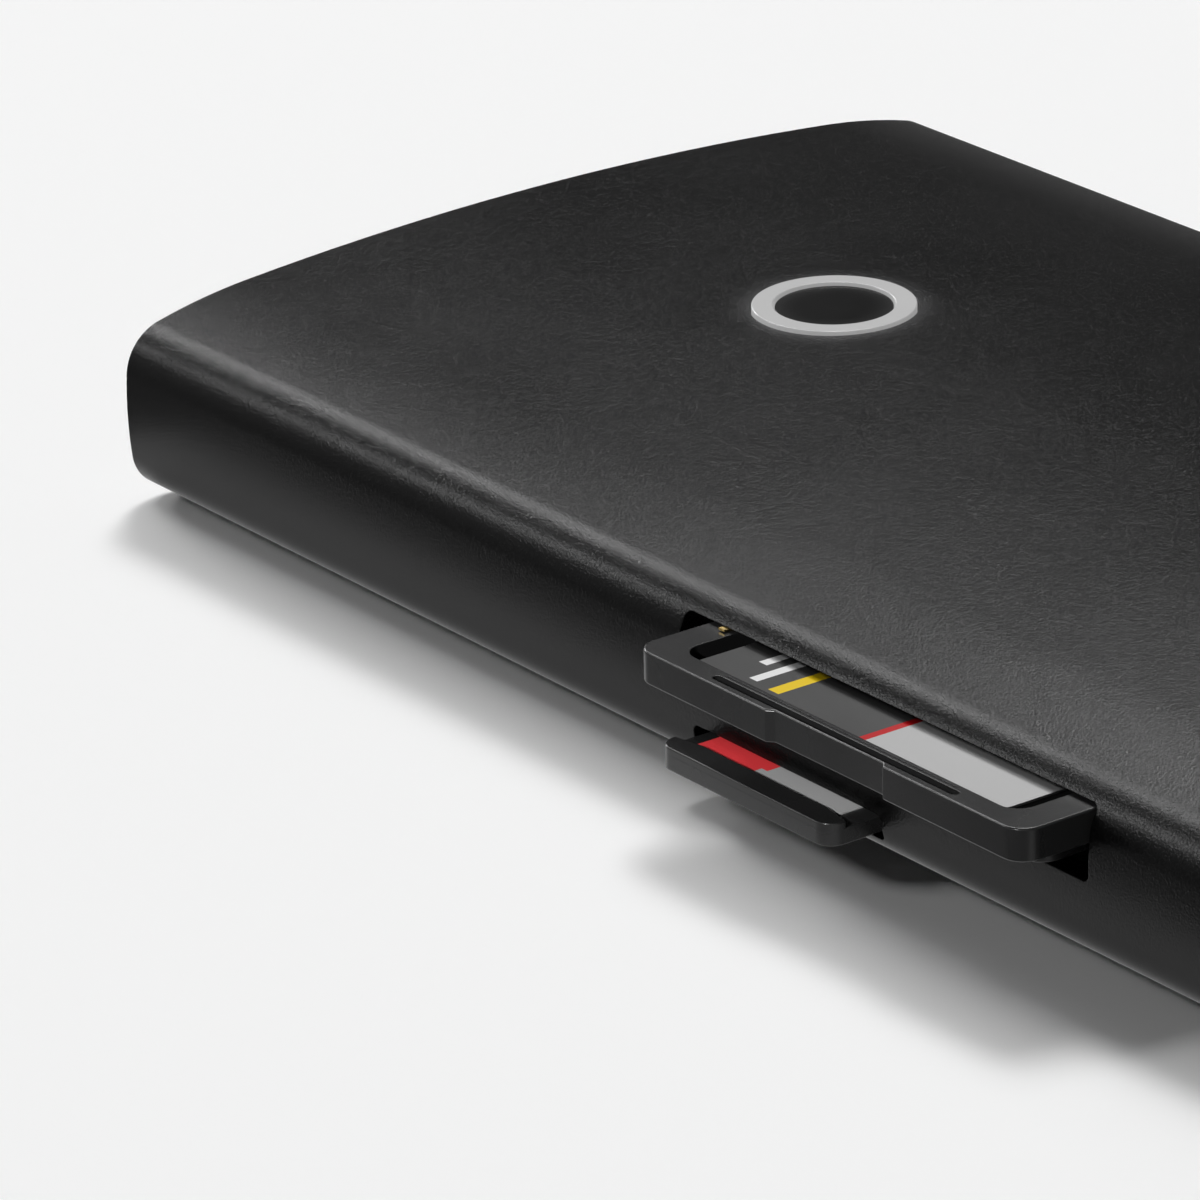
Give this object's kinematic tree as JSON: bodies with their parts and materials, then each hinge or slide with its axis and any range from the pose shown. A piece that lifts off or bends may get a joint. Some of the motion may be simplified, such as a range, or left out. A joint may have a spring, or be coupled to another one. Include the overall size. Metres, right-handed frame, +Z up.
{
  "type": "usb-c hub",
  "caption": "Slim soft-edged black hub with a crowned top, lit status ring, two memory card slots with cards, and ports on its far side and ends.",
  "frame": {"origin": "middle of the sleeve's length and width, on the surface that its feet stand on", "axes": "+X along the hub with the status ring at -X, +Y away from the card slots towards the side ports, +Z up"},
  "size_m": [0.11, 0.0493, 0.0098],
  "materials": {
    "grained_black": "fine leather grain, satin",
    "cap_black": "smooth satin",
    "foot_rubber": "matte",
    "lit_ring": "milky light pipe, lit",
    "ring_black": "smooth satin",
    "lamp_white": "phosphor under clear resin",
    "board_green": "solder mask",
    "chip_black": "moulded resin",
    "coil_grey": "pressed iron powder",
    "socket_steel": "stamped sheet",
    "socket_black": "moulded",
    "contact_gold": "gold flash",
    "tongue_blue": "moulded",
    "card_black": "fine satin",
    "sd_label_print": "gloss film in grey, red and pale grey fields",
    "microsd_label_print": "gloss film in red and grey fields"
  },
  "bodies": {
    "root": {"housing_sleeve": "grained_black", "end_cap_left": "cap_black", "end_cap_right": "cap_black", "foot_near": "foot_rubber", "foot_far": "foot_rubber", "light_ring": "lit_ring", "ring_centre": "ring_black", "ring_lamps": "lamp_white", "main_board": "board_green", "hub_chip": "chip_black", "video_chip": "chip_black", "power_chip": "chip_black", "power_coil": "coil_grey", "clock_crystal": "socket_steel", "sd_socket_base": "socket_black", "sd_socket_shell": "socket_steel", "sd_socket_contacts": "contact_gold", "ground_spring": "contact_gold", "sd_card": "card_black", "sd_card_label": "sd_label_print", "sd_card_pads": "contact_gold", "microsd_socket_base": "socket_black", "microsd_socket_shell": "socket_steel", "microsd_socket_contacts": "contact_gold", "microsd_card": "card_black", "microsd_card_label": "microsd_label_print", "usb_a_left_shell": "socket_steel", "usb_a_left_tongue": "tongue_blue", "usb_a_left_contacts": "contact_gold", "usb_a_right_shell": "socket_steel", "usb_a_right_tongue": "tongue_blue", "usb_a_right_contacts": "contact_gold", "hdmi_shell": "socket_steel", "hdmi_tongue": "socket_black", "hdmi_contacts": "contact_gold", "data_port_shell": "socket_steel", "data_port_tongue": "socket_black", "data_port_contacts": "contact_gold", "host_inlet_shell": "socket_steel", "host_inlet_tongue": "socket_black", "host_inlet_contacts": "contact_gold", "power_port_shell": "socket_steel", "power_port_tongue": "socket_black", "power_port_contacts": "contact_gold"}
  },
  "joints": []
}
